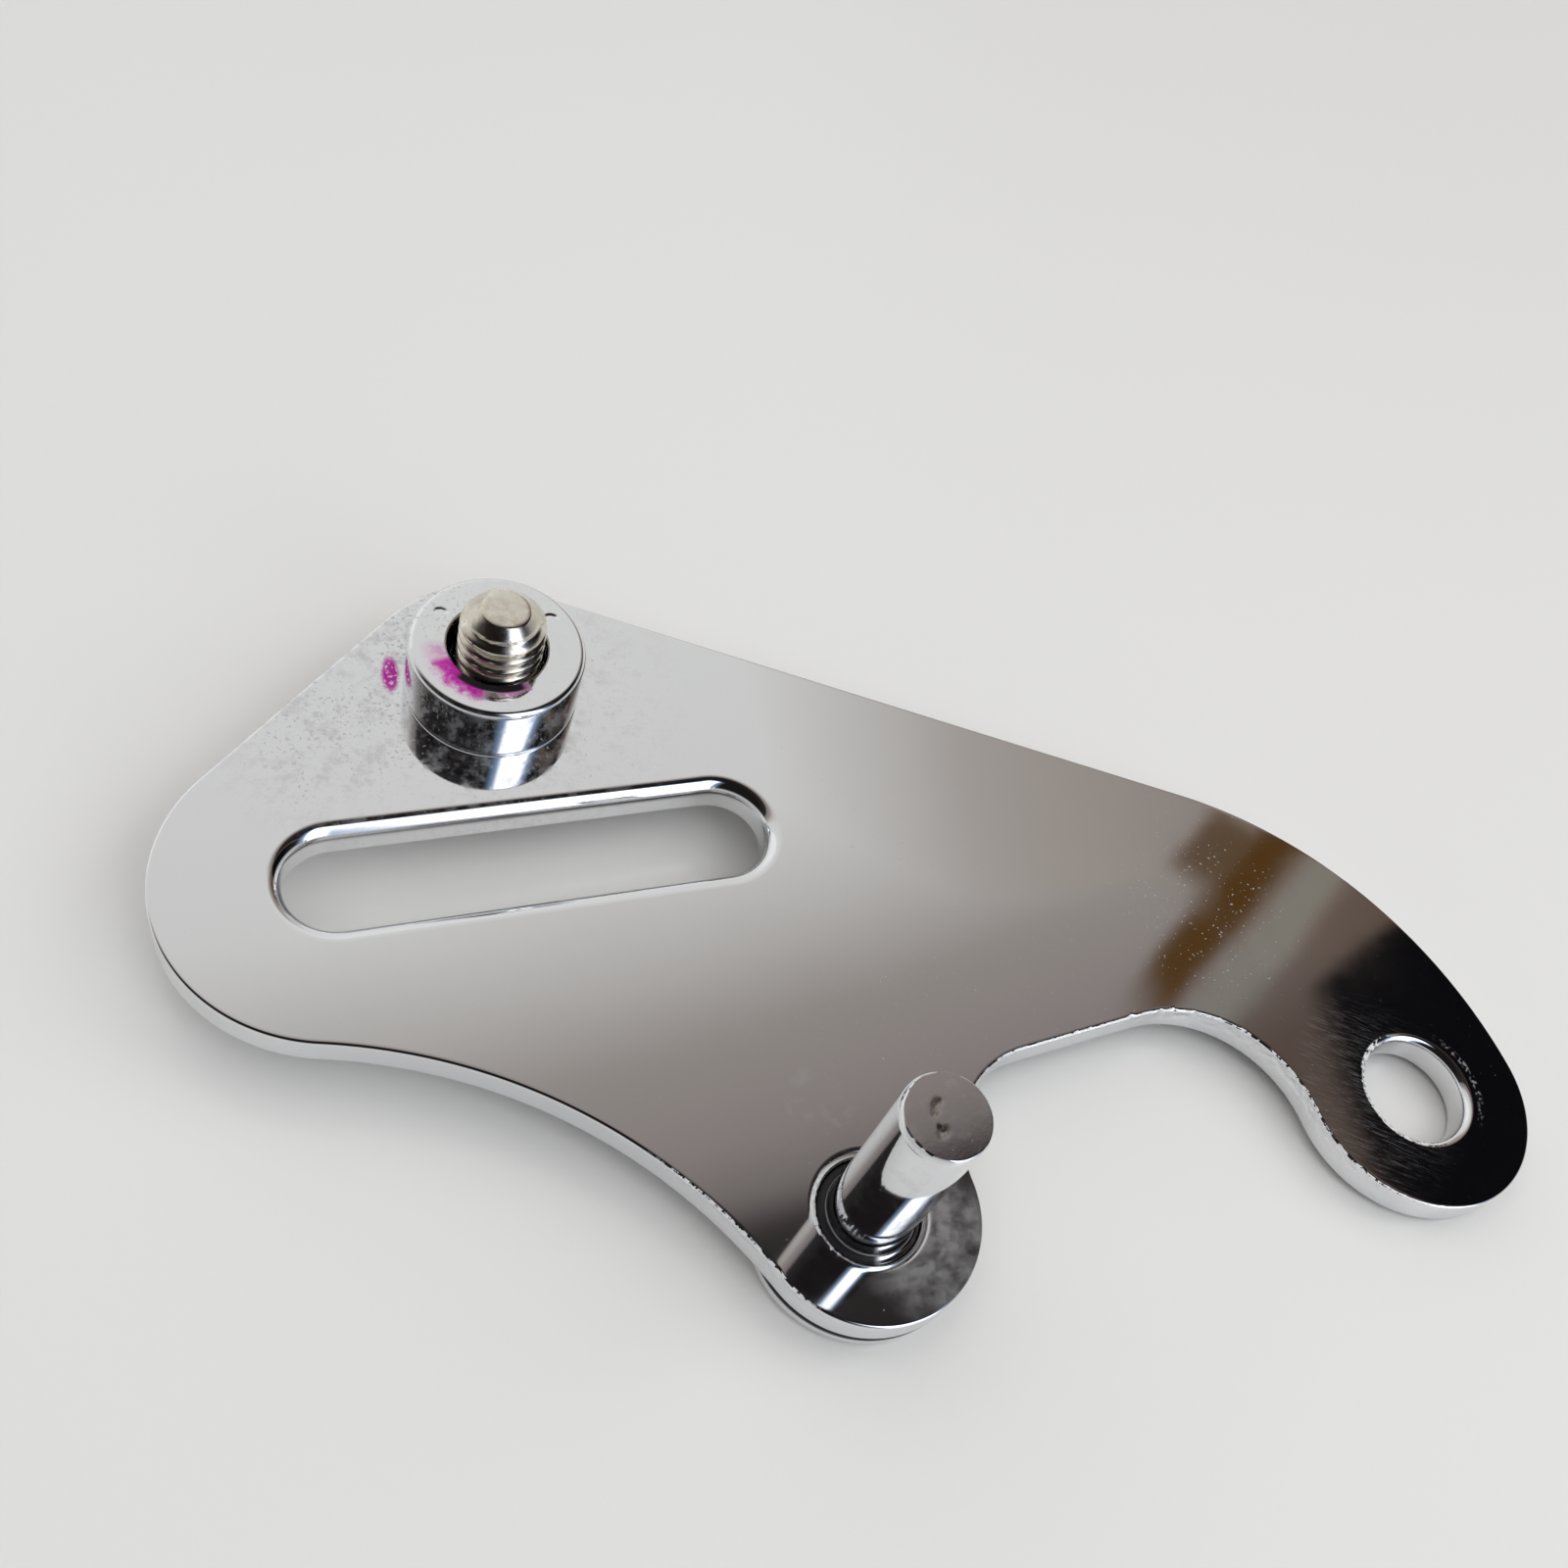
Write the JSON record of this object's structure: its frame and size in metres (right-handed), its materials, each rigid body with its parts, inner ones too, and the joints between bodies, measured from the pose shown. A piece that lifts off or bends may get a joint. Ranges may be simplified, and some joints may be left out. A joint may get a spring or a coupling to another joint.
{
  "type": "slotted pivot bracket",
  "caption": "Flat chromed side bracket with an eye, a long slot, an upright headed pivot pin and a captive hex bolt standing in a spacer ring.",
  "frame": {"origin": "centre of the underside of the pivot pin's head, on the pin's axis", "axes": "+Z along the pivot pin away from its head, square to the plate; +X along the plate's slot and its length, towards the eye; the slot and the spacer lie towards +Y"},
  "size_m": [0.146, 0.0975, 0.0346],
  "materials": {
    "plate_chrome": "bright chrome plate, mirror polished, with light haze, pitting and fine scratches",
    "spacer_chrome": "bright chrome plate with marker stains",
    "pin_chrome": "bright chrome plate, light wear",
    "bolt_nickel": "dull warm nickel plate"
  },
  "bodies": {
    "plate": {"side_plate": "plate_chrome", "spacer_ring": "spacer_chrome"},
    "pin": {"pivot_pin": "pin_chrome"},
    "washer": {"bolt_washer": "bolt_nickel"},
    "bolt": {"hex_bolt": "bolt_nickel"}
  },
  "joints": [
    {"name": "pin_turn", "type": "hinge", "parent": "plate", "child": "pin", "pos_m": [0, 0, 0], "axis": [0, 0, 1], "continuous": true},
    {"name": "bolt_travel", "type": "slide", "parent": "plate", "child": "washer", "axis": [0, 0, 1], "range_m": [-0.006, 0]},
    {"name": "bolt_turn", "type": "hinge", "parent": "washer", "child": "bolt", "pos_m": [-0.024, 0.068, 0], "axis": [0, 0, 1], "continuous": true}
  ]
}
